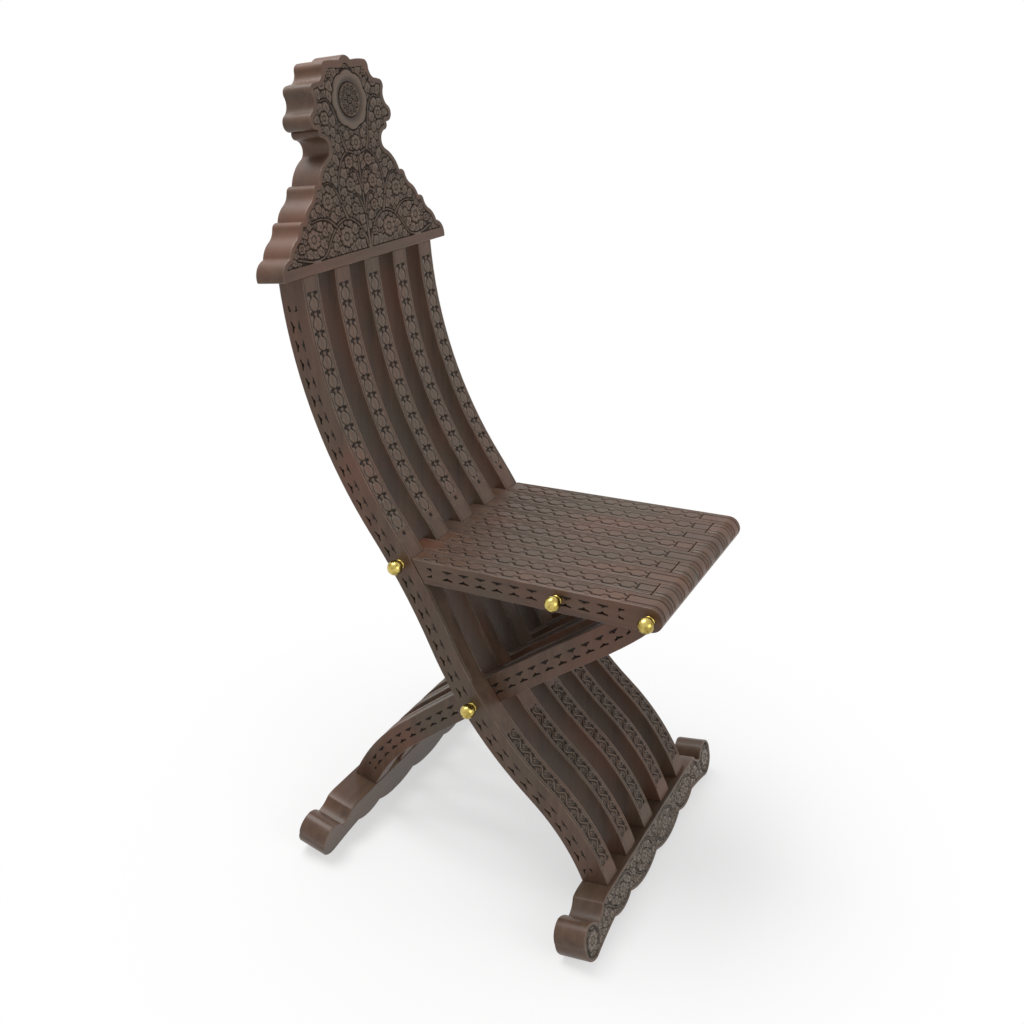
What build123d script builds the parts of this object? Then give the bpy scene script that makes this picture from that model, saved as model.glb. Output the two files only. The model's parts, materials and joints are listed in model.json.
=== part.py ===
from build123d import *

import os
from math import acos, asin, atan2, cos, degrees, radians, sin

# A folding X-chair of nine interleaved slats with a crest board, in millimetres.
# It faces -Y and stands on Z = 0, and X runs across it.
# Side profiles are drawn on the plane `side`: its first direction is +Y, towards the
# back, its second is +Z, and its origin is on the floor below the cross pivot.

# ---- slats and layers -------------------------------------------------------------
back_slat_count = 5
slat_thickness = 30.5
layer_gap = 0.5
back_slat_depth = 37.0
leg_slat_depth = 36.5
seat_thickness = 31.5

# ---- centre-lines, as (radius, length) of tangent arcs that leave the cross pivot;
#      a positive radius bends to the left of the way along the line -----------------
cross_pivot_height = 273.5
back_slat_rake = 55.0
back_slat_up = ((505.0, 89.9), (-830.0, 165.7), (582.0, 328.0))
back_slat_down = ((-505.0, 141.3),)
back_slat_heel_radius = 290.0
back_pivot_run = 207.9
leg_slat_rake = 140.5
leg_slat_up = ((4810.0, 191.8), (-550.0, 65.3))
leg_slat_down = ((-4810.0, 167.4),)
leg_slat_heel_radius = -307.0
leg_tip_run = 45.0

# ---- seat, measured square to its top ---------------------------------------------
back_pivot_drop = 10.0
seat_pivot_run = 115.1
seat_tail = 8.0
seat_tail_round = 5.0
slat_end_clearance = 0.9

# ---- rods, collars and knobs ------------------------------------------------------
rod_radius = 4.0
running_clearance = 0.05
collar_radius = 7.0
collar_thickness = 3.4
collar_round = 1.2
knob_radius = 9.7
knob_standoff = 12.0
rivet_proud = 1.4
rivet_round = 1.2

# ---- crest board ------------------------------------------------------------------
board_proud = 2.5
crest_lean = 6.5
crest_overhang = 33.2
bead_size = (15.9, 24.7)
bead_bulge = (2.5, 15.6)
ogee_count = 2
ogee_size = (36.0, 36.8)
# One ogee, as (middle, end) of its three arcs, in shares of its size from its foot
ogee_arcs = (
    ((0.14, 0.26), (0.44, 0.50)),
    ((0.60, 0.645), (0.69, 0.83)),
    ((0.785, 0.98), (1.0, 1.0)),
)
neck_half = 53.8
# The head of the crest, as (middle, end) of the arcs that follow the ogees, each
# point as its distance from the middle of the chair and its height over the ogees.
crest_head = (
    ((75.5, 16.3), (59.6, 28.6)),
    ((neck_half, 40.1), (64.4, 50.7)),
    ((69.0, 54.1), (69.0, 60.4)),
    ((81.9, 70.7), (76.2, 79.7)),
    ((70.4, 87.7), (71.0, 98.2)),
    ((71.5, 106.9), (64.5, 111.2)),
    ((60.0, 112.1), (55.0, 112.7)),
    ((48.8, 117.5), (46.3, 124.7)),
    ((43.9, 131.9), (38.0, 134.6)),
    ((25.0, 135.2), (12.0, 134.2)),
    ((6.3, 138.6), (0.0, 140.0)),
)

# ---- feet -------------------------------------------------------------------------
foot_tilt = 12.0
foot_height = 57.0
foot_overhang = 89.75
foot_inner_proud = 1.0
foot_outer_proud = 5.5
sole_wear = 0.6
middle_cusp = 0.175
# A foot's outline from the cusp in the middle of its sole, as (middle, end) of its arcs,
# in shares of its half length and of its height
foot_arcs = (
    ((0.199, 0.0), (0.397, 0.211)),
    ((0.512, 0.096), (0.627, 0.228)),
    ((0.742, 0.146), (0.886, 0.0)),
    ((0.967, 0.140), (1.0, 0.526)),
    ((0.976, 0.860), (0.915, 0.972)),
    ((0.859, 0.877), (0.817, 0.688)),
    ((0.771, 0.772), (0.734, 0.953)),
    ((0.699, 0.986), (0.655, 1.0)),
)

# ---- tenons of the slats in the boards --------------------------------------------
tenon_length = 14.0
tenon_width = 24.0
tenon_thickness = 12.0
tenon_clearance = 0.1

# ---- worked out from the sizes above ----------------------------------------------
leg_slat_count = back_slat_count - 1
layer_pitch = slat_thickness + layer_gap
layer_count = back_slat_count + leg_slat_count
pack_half = (layer_count * layer_pitch - layer_gap) / 2
board_thickness = back_slat_depth + 2 * board_proud
nose_radius = seat_thickness / 2
bore_radius = rod_radius + running_clearance
end_trim = back_slat_depth / 2


def polar(angle, length=1.0):
    """A vector in the side plane, by its angle in degrees and its length."""
    return Vector(length * cos(radians(angle)), length * sin(radians(angle)))


def heading_of(vector):
    """The angle of a vector in the side plane, in degrees."""
    return degrees(atan2(vector.Y, vector.X))


def walk(start, heading, bends):
    """Point and heading at the end of a chain of tangent arcs."""
    point = start
    for radius, length in bends:
        turned = heading + degrees(length / radius)
        point = point + polar(heading + 90, radius) - polar(turned + 90, radius)
        heading = turned
    return point, heading


def part_way(bends, run):
    """The bends of a chain up to a given run from its start."""
    kept = []
    for radius, length in bends:
        kept.append((radius, min(length, run)))
        run -= kept[-1][1]
        if run <= 0:
            break
    return kept


def down_to(start, heading, radius, height):
    """Length of the last downward arc, from a point down to a given height."""
    centre_height = start.Y + radius * cos(radians(heading))
    last_heading = -degrees(acos((centre_height - height) / radius))
    return radians(last_heading - heading) * radius


def crossing(point, heading, other_point, other_heading):
    """Where two straight lines in the side plane cross."""
    along, other_along = polar(heading), polar(other_heading)
    apart = other_point - point
    steps = (apart.X * other_along.Y - apart.Y * other_along.X) / (
        along.X * other_along.Y - along.Y * other_along.X
    )
    return point + along * steps


# Pivots, and where each slat meets its foot
cross_pivot = Vector(0, cross_pivot_height)
back_bends = part_way(back_slat_up, back_pivot_run)
back_pivot, back_pivot_heading = walk(cross_pivot, back_slat_rake, back_bends)
leg_tip_start, leg_tip_heading = walk(cross_pivot, leg_slat_rake, leg_slat_up)
front_pivot = leg_tip_start + polar(leg_tip_heading, leg_tip_run)
seat_span = back_pivot - front_pivot
seat_pivot = front_pivot + seat_span.normalized() * seat_pivot_run

# A tilted foot stands on the lower edge of its inner side
foot_inner_half = back_slat_depth / 2 + foot_inner_proud
foot_outer_half = back_slat_depth / 2 + foot_outer_proud
foot_seat_height = (
    foot_height * cos(radians(foot_tilt))
    + foot_inner_half * sin(radians(foot_tilt))
    - sole_wear
)


def heel_bends(heading, bends, heel_radius):
    """The bends from the cross pivot down to the foot, and where they end."""
    knee, knee_heading = walk(cross_pivot, heading, bends)
    length = down_to(knee, knee_heading, heel_radius, foot_seat_height)
    whole = bends + ((heel_radius, length),)
    return whole, walk(cross_pivot, heading, whole)[0]


back_down_bends, front_foot_top = heel_bends(
    back_slat_rake - 180, back_slat_down, back_slat_heel_radius
)
leg_down_bends, rear_foot_top = heel_bends(
    leg_slat_rake - 180, leg_slat_down, leg_slat_heel_radius
)
crest_foot = walk(cross_pivot, back_slat_rake, back_slat_up)[0]

# Seat: its top lies one nose radius over the front pivot and back_pivot_drop over
# the back pivot, and its heading runs from front to back
seat_fall = degrees(asin((nose_radius - back_pivot_drop) / seat_span.length))
seat_heading = heading_of(seat_span) - seat_fall
seat_up = polar(seat_heading + 90)
seat_top = front_pivot + seat_up * nose_radius
seat_bottom = seat_top - seat_up * seat_thickness
nose_tip = front_pivot - polar(seat_heading, nose_radius)

# The chair's front and back, which centre it on Y = 0
crest_up_heading = 90 - crest_lean
crest_front_foot = crest_foot - polar(-crest_lean, board_thickness / 2)
ogees_top = bead_size[1] + ogee_count * ogee_size[1]
crest_height = ogees_top + crest_head[-1][1][1]
crest_back_top = (
    crest_front_foot
    + polar(crest_up_heading, crest_height)
    + polar(-crest_lean, board_thickness)
)
chair_front = front_pivot.X - nose_radius
centre_shift = -(chair_front + crest_back_top.X) / 2
side = Plane(origin=(0, centre_shift, 0), x_dir=(0, 1, 0), z_dir=(1, 0, 0))


def layer_centre(layer):
    """X of the middle of a layer, counted from 0 on the -X side."""
    return (layer - (layer_count - 1) / 2) * layer_pitch


def layer_plane(layer):
    """The side plane at a layer's -X face."""
    return side.offset(layer_centre(layer) - slat_thickness / 2)


def cross_plane(point, normal_heading):
    """A plane across the chair at a point of the side plane, its first direction +X."""
    normal = polar(normal_heading)
    origin = side.from_local_coords(Vector(point.X, point.Y, 0))
    return Plane(origin=origin, x_dir=(1, 0, 0), z_dir=(0, normal.X, normal.Y))


# Planes on which the slats' ends are cut, square to the boards that hold them
crest_seat_plane = cross_plane(crest_foot, crest_up_heading)
front_foot_plane = cross_plane(front_foot_top, -foot_tilt - 90)
rear_foot_plane = cross_plane(rear_foot_top, foot_tilt - 90)


def edge_line(heading, bends, offset):
    """Draws the line that runs a given distance left of a chain from the cross pivot."""
    point = cross_pivot + polar(heading + 90, offset)
    for radius, length in bends:
        turn = degrees(length / radius)
        arc = JernArc(point, polar(heading), abs(radius - offset), turn)
        point = arc @ 1
        heading += turn
    return point


def band(heading, up_bends, down_bends, half_depth):
    """Draws the outline of a slat's curved band and fills it."""
    with BuildLine() as outline:
        left_top = edge_line(heading, up_bends, half_depth)
        right_top = edge_line(heading, up_bends, -half_depth)
        left_foot = edge_line(heading - 180, down_bends, -half_depth)
        right_foot = edge_line(heading - 180, down_bends, half_depth)
        Line(left_top, right_top)
        Line(left_foot, right_foot)
    make_face(outline.edges())


def overrun(bends, extra):
    """The same bends with the last one lengthened."""
    radius, length = bends[-1]
    return tuple(bends[:-1]) + ((radius, length + extra),)


def tenon(plane, layer, clearance=0.0, mode=Mode.ADD):
    """Adds a slat's tenon along a board plane's normal, or cuts its mortise."""
    with BuildSketch(plane) as section:
        with Locations((layer_centre(layer), 0)):
            Rectangle(tenon_thickness + 2 * clearance, tenon_width + 2 * clearance)
    extrude(section.sketch, amount=tenon_length + clearance, mode=mode)


def bore(point):
    """Cuts a rod's bore in the sketch of a slat."""
    with Locations(point):
        Circle(bore_radius, mode=Mode.SUBTRACT)


# ---- slats ------------------------------------------------------------------------
def back_slat(layer):
    """One S-curved slat from the front foot to the crest board."""
    with BuildPart() as slat:
        with BuildSketch(layer_plane(layer)):
            band(
                back_slat_rake,
                overrun(back_slat_up, end_trim),
                overrun(back_down_bends, end_trim),
                back_slat_depth / 2,
            )
            bore(cross_pivot)
            bore(back_pivot)
        extrude(amount=slat_thickness)
        split(bisect_by=crest_seat_plane, keep=Keep.BOTTOM)
        split(bisect_by=front_foot_plane, keep=Keep.BOTTOM)
        tenon(crest_seat_plane, layer)
        tenon(front_foot_plane, layer)
    return slat.part


def leg_slat(layer):
    """One leg slat, from the rear foot to a tip that ends the seat round the front rod."""
    half = leg_slat_depth / 2
    left = polar(leg_tip_heading + 90, half)
    front_corner = leg_tip_start + left
    back_corner = leg_tip_start - left
    top_corner = crossing(back_corner, leg_tip_heading, seat_top, seat_heading)
    to_corner = front_corner - front_pivot
    corner_angle = degrees(acos(nose_radius / to_corner.length))
    tangent_point = front_pivot + polar(heading_of(to_corner) - corner_angle, nose_radius)
    with BuildPart() as slat:
        with BuildSketch(layer_plane(layer)):
            band(
                leg_slat_rake,
                leg_slat_up,
                overrun(leg_down_bends, end_trim),
                half,
            )
            with BuildLine():
                Line(front_corner, tangent_point)
                ThreePointArc(tangent_point, nose_tip, seat_top)
                Line(seat_top, top_corner)
                Line(top_corner, back_corner)
                Line(back_corner, front_corner)
            make_face()
            bore(cross_pivot)
            bore(front_pivot)
        extrude(amount=slat_thickness)
        split(bisect_by=rear_foot_plane, keep=Keep.BOTTOM)
        tenon(rear_foot_plane, layer)
    return slat.part


def rear_seat_slat(layer):
    """One rear seat slat: hung on the back rod, its front end along a leg slat's back."""
    apart = leg_slat_depth / 2 + slat_end_clearance
    rest_point = front_pivot - polar(leg_tip_heading + 90, apart)
    front_top = crossing(rest_point, leg_tip_heading, seat_top, seat_heading)
    front_bottom = crossing(rest_point, leg_tip_heading, seat_bottom, seat_heading)
    tail_point = back_pivot + polar(seat_heading, seat_tail)
    tail_top = crossing(tail_point, seat_heading + 90, seat_top, seat_heading)
    tail_bottom = crossing(tail_point, seat_heading + 90, seat_bottom, seat_heading)
    with BuildPart() as slat:
        with BuildSketch(layer_plane(layer)) as profile:
            with BuildLine():
                Polyline(front_top, front_bottom, tail_bottom, tail_top, close=True)
            make_face()
            fillet(profile.vertices().sort_by(Axis.X)[-2:], seat_tail_round)
            bore(back_pivot)
            bore(seat_pivot)
        extrude(amount=slat_thickness)
    return slat.part


def front_seat_slat(layer):
    """One front seat slat, from a back slat's front to its round nose on the front rod."""
    apart = back_slat_depth / 2 + slat_end_clearance
    slat_rise = polar(back_pivot_heading).dot(seat_up)
    end_rise = apart * polar(back_pivot_heading + 90).dot(seat_up)
    below_pivot = (nose_radius - back_pivot_drop + end_rise) / slat_rise
    rest_bends = part_way(back_slat_up, back_pivot_run - below_pivot)
    rest, rest_heading = walk(cross_pivot, back_slat_rake, rest_bends)
    rest_point = rest + polar(rest_heading + 90, apart)
    rear_top = crossing(rest_point, rest_heading, seat_top, seat_heading)
    rear_bottom = crossing(rest_point, rest_heading, seat_bottom, seat_heading)
    with BuildPart() as slat:
        with BuildSketch(layer_plane(layer)):
            with BuildLine():
                Line(seat_top, rear_top)
                Line(rear_top, rear_bottom)
                Line(rear_bottom, seat_bottom)
                ThreePointArc(seat_bottom, nose_tip, seat_top)
            make_face()
            bore(seat_pivot)
            bore(front_pivot)
        extrude(amount=slat_thickness)
    return slat.part


# ---- boards -----------------------------------------------------------------------
def crest_board():
    """The crest: a board with a beaded, scalloped outline, mortised for the back slats."""
    front = cross_plane(crest_front_foot, 180 - crest_lean)
    end = pack_half + crest_overhang
    step = Vector(end - bead_size[0], bead_size[1])
    run, rise = ogee_size
    with BuildPart() as board:
        with BuildSketch(front):
            with BuildLine():
                Line((0, 0), (end, 0))
                ThreePointArc((end, 0), (end - bead_bulge[0], bead_bulge[1]), step)
                for ogee in range(ogee_count):
                    foot = Vector(end - bead_size[0] - ogee * run, bead_size[1] + ogee * rise)
                    for middle, arc_end in ogee_arcs:
                        middle_point = foot + Vector(-middle[0] * run, middle[1] * rise)
                        end_point = foot + Vector(-arc_end[0] * run, arc_end[1] * rise)
                        ThreePointArc(step, middle_point, end_point)
                        step = end_point
                for middle, arc_end in crest_head:
                    middle_point = Vector(middle[0], ogees_top + middle[1])
                    end_point = Vector(arc_end[0], ogees_top + arc_end[1])
                    ThreePointArc(step, middle_point, end_point)
                    step = end_point
                mirror(about=Plane.YZ)
            make_face()
        extrude(amount=-board_thickness)
        for layer in range(0, layer_count, 2):
            tenon(crest_seat_plane, layer, tenon_clearance, Mode.SUBTRACT)
    return board.part


def foot_board(top_point, lean, seat_plane, first_layer, front_half):
    """A foot: a tilted board with lobed ends, mortised for the slats that stand in it."""
    middle = top_point + polar(90 + lean, -foot_height) - polar(lean, front_half)
    front = cross_plane(middle, 180 + lean)
    half_length = pack_half + foot_overhang
    with BuildPart() as board:
        with BuildSketch(front):
            with BuildLine():
                step = Vector(0, middle_cusp * foot_height)
                for arc_middle, arc_end in foot_arcs:
                    middle_point = Vector(arc_middle[0] * half_length, arc_middle[1] * foot_height)
                    end_point = Vector(arc_end[0] * half_length, arc_end[1] * foot_height)
                    ThreePointArc(step, middle_point, end_point)
                    step = end_point
                Line(step, (0, foot_height))
                mirror(about=Plane.YZ)
            make_face()
        extrude(amount=-(foot_inner_half + foot_outer_half))
        split(bisect_by=Plane.XY, keep=Keep.TOP)
        for layer in range(first_layer, layer_count, 2):
            tenon(seat_plane, layer, tenon_clearance, Mode.SUBTRACT)
    return board.part


# ---- rods, collars and knobs ------------------------------------------------------
def rivet_end(rod):
    """Rounds a rod's end on the left side, where it is riveted over its collar."""
    fillet(rod.faces().sort_by(Axis.X)[-1].edges(), rivet_round)


def through_rod(point):
    """A rod across the whole pack, from the middle of its knob to its riveted end."""
    start = pack_half + knob_standoff
    end = pack_half + collar_thickness + rivet_proud
    with BuildPart() as rod:
        with BuildSketch(side.offset(-start)):
            with Locations(point):
                Circle(rod_radius)
        extrude(amount=start + end)
        rivet_end(rod)
    return rod.part


def seat_pins(point):
    """The seat rod, in the front seat slats alone: the rear seat slats swing off it."""
    with BuildPart() as pins:
        for layer in range(0, layer_count, 2):
            start = layer_plane(layer)
            length = slat_thickness
            if layer == 0:
                start = start.offset(-knob_standoff)
                length += knob_standoff
            if layer == layer_count - 1:
                length += collar_thickness + rivet_proud
            with BuildSketch(start):
                with Locations(point):
                    Circle(rod_radius)
            extrude(amount=length)
        rivet_end(pins)
    return pins.part


def end_plane(point, sign):
    """A plane on the pack's outer face at a rod, its normal pointing outwards."""
    origin = side.from_local_coords(Vector(point.X, point.Y, sign * pack_half))
    return Plane(origin=origin, x_dir=(0, 1, 0), z_dir=(sign, 0, 0))


def collar(point, sign):
    """A rounded ring on the pack's outer face, under a knob or a riveted end."""
    with BuildPart() as ring:
        with BuildSketch(end_plane(point, sign)):
            Circle(collar_radius)
            Circle(bore_radius, mode=Mode.SUBTRACT)
        extrude(amount=collar_thickness)
        outer = ring.faces().sort_by(Axis.X)[-1 if sign > 0 else 0]
        rim = outer.edges().sort_by(SortBy.RADIUS)[-1]
        fillet(rim, collar_round)
    return ring.part


def knob(point):
    """A ball on a rod's right end, cut flat on its collar, with a blind bore."""
    face = end_plane(point, -1)
    with BuildPart() as ball:
        with Locations(face.offset(knob_standoff)):
            Sphere(knob_radius)
        split(bisect_by=face.offset(collar_thickness), keep=Keep.TOP)
        with BuildSketch(face.offset(collar_thickness)):
            Circle(bore_radius)
        extrude(amount=knob_standoff - collar_thickness + running_clearance, mode=Mode.SUBTRACT)
    return ball.part


# ---- every piece, each in its own file --------------------------------------------
def save(piece, label):
    """Labels a piece and writes it."""
    piece.label = label
    export_step(piece, f"parts/{label}.step")


os.makedirs("parts", exist_ok=True)

for number in range(back_slat_count):
    save(back_slat(2 * number), f"back_slat_{number + 1}")
    save(front_seat_slat(2 * number), f"front_seat_slat_{number + 1}")

for number in range(leg_slat_count):
    save(leg_slat(2 * number + 1), f"leg_slat_{number + 1}")
    save(rear_seat_slat(2 * number + 1), f"rear_seat_slat_{number + 1}")

save(crest_board(), "crest_board")
save(
    foot_board(front_foot_top, -foot_tilt, front_foot_plane, 0, foot_outer_half),
    "front_foot",
)
save(
    foot_board(rear_foot_top, foot_tilt, rear_foot_plane, 1, foot_inner_half),
    "rear_foot",
)

save(through_rod(cross_pivot), "cross_rod")
save(through_rod(back_pivot), "back_rod")
save(through_rod(front_pivot), "front_rod")
save(seat_pins(seat_pivot), "seat_rod")

rod_points = {
    "cross": cross_pivot,
    "back": back_pivot,
    "seat": seat_pivot,
    "front": front_pivot,
}
for rod_name, rod_point in rod_points.items():
    save(collar(rod_point, -1), f"{rod_name}_collar_right")
    save(collar(rod_point, 1), f"{rod_name}_collar_left")
    save(knob(rod_point), f"{rod_name}_knob_right")
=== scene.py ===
import json
import math

import bmesh
import bpy
import numpy as np
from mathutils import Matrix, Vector

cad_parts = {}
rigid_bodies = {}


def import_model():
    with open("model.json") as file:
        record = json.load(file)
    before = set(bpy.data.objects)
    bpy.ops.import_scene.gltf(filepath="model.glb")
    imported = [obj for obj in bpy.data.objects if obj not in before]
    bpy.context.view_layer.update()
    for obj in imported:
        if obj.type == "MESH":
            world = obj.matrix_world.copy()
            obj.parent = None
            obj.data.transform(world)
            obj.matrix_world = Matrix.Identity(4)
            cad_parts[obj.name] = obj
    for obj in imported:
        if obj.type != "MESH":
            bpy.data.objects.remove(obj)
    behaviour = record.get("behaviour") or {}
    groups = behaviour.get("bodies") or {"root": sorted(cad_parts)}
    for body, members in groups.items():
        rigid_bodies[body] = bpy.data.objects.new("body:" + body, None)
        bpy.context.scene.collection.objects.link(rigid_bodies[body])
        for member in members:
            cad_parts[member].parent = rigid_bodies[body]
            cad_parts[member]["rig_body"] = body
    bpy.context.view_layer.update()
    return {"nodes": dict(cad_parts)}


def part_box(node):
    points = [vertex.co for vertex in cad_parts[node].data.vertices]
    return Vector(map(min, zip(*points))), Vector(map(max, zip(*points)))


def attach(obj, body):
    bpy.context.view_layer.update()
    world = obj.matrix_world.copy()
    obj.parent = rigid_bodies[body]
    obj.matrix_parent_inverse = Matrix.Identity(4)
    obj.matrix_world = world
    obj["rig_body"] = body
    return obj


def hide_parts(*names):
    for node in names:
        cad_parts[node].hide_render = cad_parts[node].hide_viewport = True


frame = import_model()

# The finish of a folding chair of carved walnut slats with brass knobs.
# Blender works in metres. The carving is laid out in millimetres, in two directions on
# each carved face: `a` runs along it and `t` across it, from its middle line.
MM = 0.001
nodes = frame["nodes"]

# ---- sizes, in millimetres ------------------------------------------------------------
BACK_SLATS, LEG_SLATS = 5, 4
BACK_DEPTH = 37.0           # depth of a back slat, square to its curve
LEG_DEPTH = 36.5            # and of a leg slat
ARRIS = 1.3                 # rounding of the pieces' sharp edges
CLEAR = 3.0                 # how far a cutter reaches out of the wood
SKIM = 0.25                 # a cutter passes this far over wood that it leaves alone
LOWERED = 0.12              # and takes at least this much off all along a strip

# Strips that are carved along an edge, by the run of their ends
STRIP_HALF = 14.0           # half the width of each strip
FINE_STEP = (0.8, 0.7)      # steps of a strip's grid, along it and across it
SEAT_STEP = (0.7, 0.5)
LINE_STEP = (6.0, 0.5)      # where the relief is the same all along
BUD_STRIP = (236.0, 583.0)
LINE_STRIP = (30.0, 236.0)
BRAID_STRIP = (-268.0, -40.0)
LEG_STRIPS = {"panel_up": (32.0, 226.0), "panel_down": (-268.0, -30.0)}
LEG_NOSE_STRIP = (-26.0, 9.0)
SEAT_START, SEAT_END = -26.0, 330.0     # from under the nose to over the back rod
FRONT_SEAT_MARGIN, REAR_SEAT_MARGIN = 1.0, 0.6      # plain wood where the halves end

BUD_FIELD = (246.6, 565.0)  # carved part of a back slat's front edge over the seat
BUD_COUNT = 13
BUD_WIDE = 7.6              # half width of a bud
BEADS = ((0.88, 3.0), (0.745, 1.7))     # place in the pitch, and radius
STOP_FAR, STOP_NEAR, STOP_HALF, STOP_DEPTH = 11, 5, 3.2, 2.2    # square under the buds
BRAID_FIELD = (55.0, 262.0)  # and under the cross pivot
BRAID_COUNT = 9
BRAID_WAVE = 4.6            # how far the stem swings out
FIELD_HALF = 9.6            # half width of the carved fields
FIELD_DEPTH = 2.6
BORDER_LINE = 12.0          # the fine lines beside them

SEAT_PITCH = 23.3           # of the scalloped chains on the seat
SEAT_FIRST_PINCH = 57.5     # first narrow place, from the front rod
SEAT_CHAIN = (33.0, 303.0)
SEAT_WIDE, SEAT_NARROW = 7.6, 3.6
SEAT_SCALLOP = 10.6         # outer end of the scallops beside a chain
SEAT_LINE = 11.7            # the lines along the slat's edges
LEG_PANEL_DEPTH = 1.3
LEG_LINES = (9.6, 12.2)

NOTCH_LENGTH, NOTCH_HEIGHT, NOTCH_DEPTH = 15.0, 5.5, 3.0
NOTCH_APART = 2.8           # between the tips of a pair
NOTCH_DIP = 0.86            # height of the inner notch's rim in its middle
BACK_NOTCH_SHIFT = 3.5      # the pairs lie this far behind a back slat's middle
SEAT_NOTCH_INSET = 14.6     # and this far under the seat's top

PANEL_STEP = 0.85           # step of the crest's and the foot's grids
CREST_GROUND = 3.2          # depth of the ground behind the leaves
CREST_MARGIN, CREST_BAND = 5.5, 12.5    # plain wood at the rim, and at the bottom
TOP_MARGIN, TOP_MARGIN_RISE = 3.0, (212, 224)       # and more of it at the top
CREST_LEAVES = (5.6, 1.7)   # largest and smallest leaf
FOOT_GROUND = 2.8
FOOT_MARGIN = 3.4
FOOT_LEAVES = (4.8, 1.5)
MEDALLION_HEIGHT = 188.0    # its middle, over the bottom of the crest
MEDALLION_BOSS, MEDALLION_DISH, MEDALLION_FIELD = 19.5, 29.0, 32.0
MEDALLION_LOBE = 2.6        # how far its lobed edge waves out
MEDALLION_RIM = (3.4, 2.4)  # the boss's rim rises between these, from its edge
# Rings of small flowers, as (radius of the ring, count, radius of a flower)
MEDALLION_RINGS = ((0.0, 1, 4.4), (8.4, 6, 4.0), (14.6, 12, 2.6))


# ---- small helpers --------------------------------------------------------------------
def ramp(x, low, high):
    """0 below low, 1 above high, and smooth in between."""
    x = np.clip((x - low) / (high - low), 0.0, 1.0)
    return x * x * (3.0 - 2.0 * x)


def vee(distance, half_width, depth):
    """The depth of a V-shaped groove at a distance from its line."""
    return depth * np.clip(1.0 - np.abs(distance) / half_width, 0.0, 1.0)


def body_of_node(node):
    """The name of the body that a CAD node rides on."""
    return nodes[node]["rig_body"]


def rod_centre(node):
    """(y, z) of a rod's axis, in metres."""
    low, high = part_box(node)
    return np.array([(low.y + high.y) / 2, (low.z + high.z) / 2])


# ---- solids from the CAD nodes --------------------------------------------------------
def cad_mesh(node):
    """A closed bmesh of a CAD node, its flat faces whole."""
    bm = bmesh.new()
    bm.from_mesh(nodes[node].data)
    bmesh.ops.remove_doubles(bm, verts=bm.verts, dist=2e-6)
    bmesh.ops.dissolve_limit(
        bm, angle_limit=math.radians(0.2), use_dissolve_boundaries=False,
        verts=bm.verts, edges=bm.edges,
    )
    bm.normal_update()
    return bm


def soft_solid(node):
    """An object with a CAD node's shape and rounded arrises, which wear pale."""
    bm = cad_mesh(node)
    wear = bm.loops.layers.float.new("wear")
    bm.loops.layers.float.new("carved")
    sharp = [
        e for e in bm.edges
        if len(e.link_faces) == 2 and e.is_convex and e.calc_face_angle() > math.radians(35)
    ]
    made = bmesh.ops.bevel(
        bm, geom=sharp, offset=ARRIS * MM, offset_type="OFFSET", segments=2,
        profile=0.5, affect="EDGES", clamp_overlap=False, loop_slide=False,
    )
    for face in made["faces"]:
        for loop in face.loops:
            loop[wear] = 1.0
    mesh = bpy.data.meshes.new(node + "_wood")
    bm.to_mesh(mesh)
    bm.free()
    obj = bpy.data.objects.new(node + "_wood", mesh)
    bpy.context.scene.collection.objects.link(obj)
    return obj


def outline(node):
    """The outline of a slat's +X face, counter-clockwise, as rows of (y, z)."""
    bm = cad_mesh(node)
    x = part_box(node)[1].x
    flat = {
        f for f in bm.faces
        if f.normal.x > 0.999 and abs(f.calc_center_median().x - x) < 1e-5
    }
    after = {
        loop.vert: loop.link_loop_next.vert
        for face in flat for loop in face.loops
        if loop.link_loop_radial_next.face not in flat
    }
    loops = []
    while after:
        start = next(iter(after))
        walk, vert = [], start
        while vert in after:
            walk.append((vert.co.y, vert.co.z))
            vert = after.pop(vert)
        loops.append(np.array(walk))
    bm.free()
    return max(loops, key=lambda loop: np.ptp(loop, axis=0).sum())


def pieces_of(loop, sharp=25.0):
    """An outline cut at its corners, each piece as rows of (y, z)."""
    step = np.roll(loop, -1, 0) - loop
    heading = np.degrees(np.arctan2(step[:, 1], step[:, 0]))
    turn = (heading - np.roll(heading, 1) + 180) % 360 - 180
    corners = np.flatnonzero(np.abs(turn) > sharp)
    found = []
    for here, there in zip(corners, np.roll(corners, -1)):
        count = (there - here) % len(loop)
        found.append(loop[(here + np.arange(count + 1)) % len(loop)])
    return found


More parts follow.
